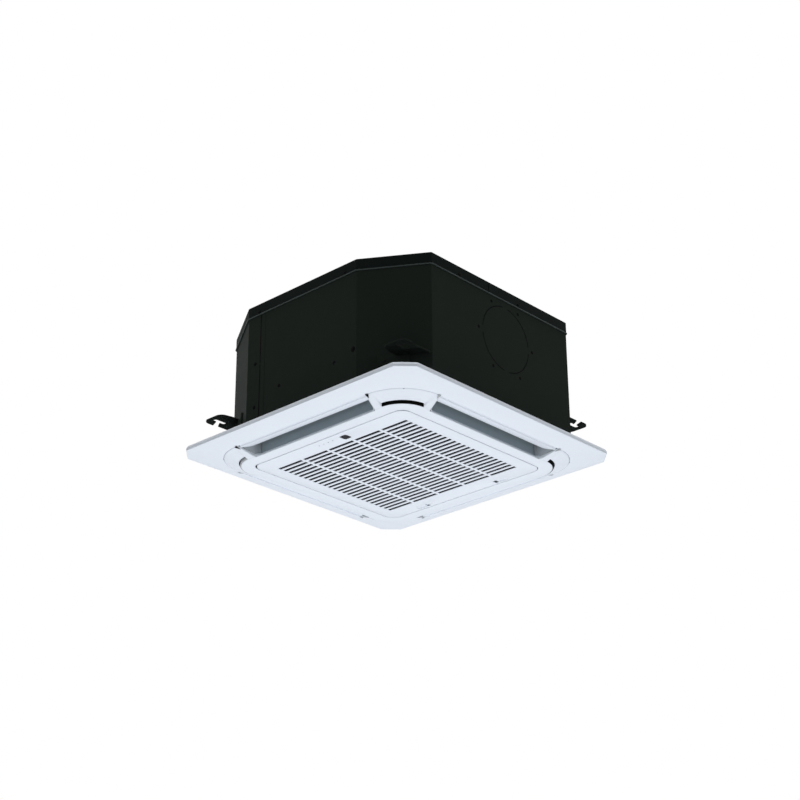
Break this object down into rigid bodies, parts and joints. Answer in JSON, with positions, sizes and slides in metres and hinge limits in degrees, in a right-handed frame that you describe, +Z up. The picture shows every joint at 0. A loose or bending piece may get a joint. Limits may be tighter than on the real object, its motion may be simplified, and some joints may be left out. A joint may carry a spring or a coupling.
{
  "type": "four-way ceiling cassette air conditioner",
  "caption": "Compact ceiling cassette air conditioner: octagonal dark sheet-metal body above a square white panel with slotted intake grille and slim swinging louvers.",
  "frame": {"origin": "centre of the panel on the underside of the finished ceiling", "axes": "+Z up; -X towards the display strip, +X towards the grille's latches; -Y towards the fresh-air knockout"},
  "size_m": [0.6695, 0.647, 0.321],
  "materials": {
    "panel_white": "fine satin moulded white",
    "shade_white": "satin moulded",
    "green_black_paint": "satin green-black coating",
    "foam_dark": "closed-cell foam",
    "foam_white": "moulded bead foam",
    "pump_plastic": "moulded",
    "dark_plastic": "moulded",
    "galvanised": "galvanised sheet",
    "motor_steel": "plated",
    "fin_aluminium": "fin stock",
    "copper": "drawn copper tube",
    "brass": "turned",
    "board_green": "solder mask",
    "grommet_rubber": "moulded",
    "smoked_window": "smoked, polished",
    "filter_mesh": "woven net in a frame"
  },
  "bodies": {
    "casing": {"top_cover": "green_black_paint", "front_casing": "green_black_paint", "rear_casing": "green_black_paint", "foam_liner": "foam_dark", "foam_top": "foam_dark", "drain_pan": "foam_white", "coil": "fin_aluminium", "coil_end_plate": "galvanised", "fan_motor": "motor_steel", "motor_mount": "galvanised", "bell_mouth": "dark_plastic", "drain_pump": "pump_plastic", "drain_outlet": "pump_plastic", "float_stem": "dark_plastic", "control_box": "galvanised", "control_box_cover": "galvanised", "circuit_board": "board_green", "gas_pipe": "copper", "liquid_pipe": "copper", "gas_flare_nut": "brass", "liquid_flare_nut": "brass", "pipe_plate": "green_black_paint", "cable_grommet": "grommet_rubber", "panel_frame": "panel_white", "panel_seal": "foam_dark", "latch_catch_rear": "shade_white", "latch_catch_front": "shade_white", "hanger_bracket_rear_right": "green_black_paint", "corner_cover_rear_right": "panel_white", "hanger_bracket_rear_left": "green_black_paint", "corner_cover_rear_left": "panel_white", "hanger_bracket_front_left": "green_black_paint", "corner_cover_front_left": "panel_white", "hanger_bracket_front_right": "green_black_paint", "corner_cover_front_right": "panel_white", "louver_motor_right": "shade_white", "louver_bush_right": "dark_plastic", "louver_motor_rear": "shade_white", "louver_bush_rear": "dark_plastic", "louver_motor_left": "shade_white", "louver_bush_left": "dark_plastic", "louver_motor_front": "shade_white", "louver_bush_front": "dark_plastic"},
    "fan": {"turbo_fan": "dark_plastic", "fan_shaft": "motor_steel", "fan_nut": "motor_steel"},
    "float": {"level_float": "pump_plastic"},
    "grille": {"intake_grille": "panel_white", "air_filter": "filter_mesh", "display_box": "dark_plastic", "receiver_window": "smoked_window"},
    "rear_latch": {"latch_rear": "panel_white"},
    "front_latch": {"latch_front": "panel_white"},
    "right_louver": {"louver_right": "panel_white"},
    "rear_louver": {"louver_rear": "panel_white"},
    "left_louver": {"louver_left": "panel_white"},
    "front_louver": {"louver_front": "panel_white"}
  },
  "joints": [
    {"name": "fan_spin", "type": "hinge", "parent": "casing", "child": "fan", "pos_m": [0, 0, 0.2], "axis": [0, 0, 1], "continuous": true},
    {"name": "float_rise", "type": "slide", "parent": "casing", "child": "float", "axis": [0, 0, 1], "range_m": [0, 0.012]},
    {"name": "right_louver_swing", "type": "hinge", "parent": "casing", "child": "right_louver", "pos_m": [0.2775, 0, -0.0152], "axis": [0, 1, 0], "range_deg": [-46, 10]},
    {"name": "rear_louver_swing", "type": "hinge", "parent": "casing", "child": "rear_louver", "pos_m": [0, 0.2775, -0.0152], "axis": [-1, 0, 0], "range_deg": [-46, 10]},
    {"name": "left_louver_swing", "type": "hinge", "parent": "casing", "child": "left_louver", "pos_m": [-0.2775, 0, -0.0152], "axis": [0, -1, 0], "range_deg": [-46, 10]},
    {"name": "front_louver_swing", "type": "hinge", "parent": "casing", "child": "front_louver", "pos_m": [0, -0.2775, -0.0152], "axis": [1, 0, 0], "range_deg": [-46, 10]},
    {"name": "grille_hinge", "type": "hinge", "parent": "casing", "child": "grille", "pos_m": [-0.195, 0, -0.0302], "axis": [0, 1, 0], "range_deg": [0, 80]},
    {"name": "rear_latch_slide", "type": "slide", "parent": "grille", "child": "rear_latch", "axis": [0, -1, 0], "range_m": [0, 0.007], "stiffness_N_per_m": 120, "springref_m": -0.001},
    {"name": "front_latch_slide", "type": "slide", "parent": "grille", "child": "front_latch", "axis": [0, 1, 0], "range_m": [0, 0.007], "stiffness_N_per_m": 120, "springref_m": -0.001}
  ]
}
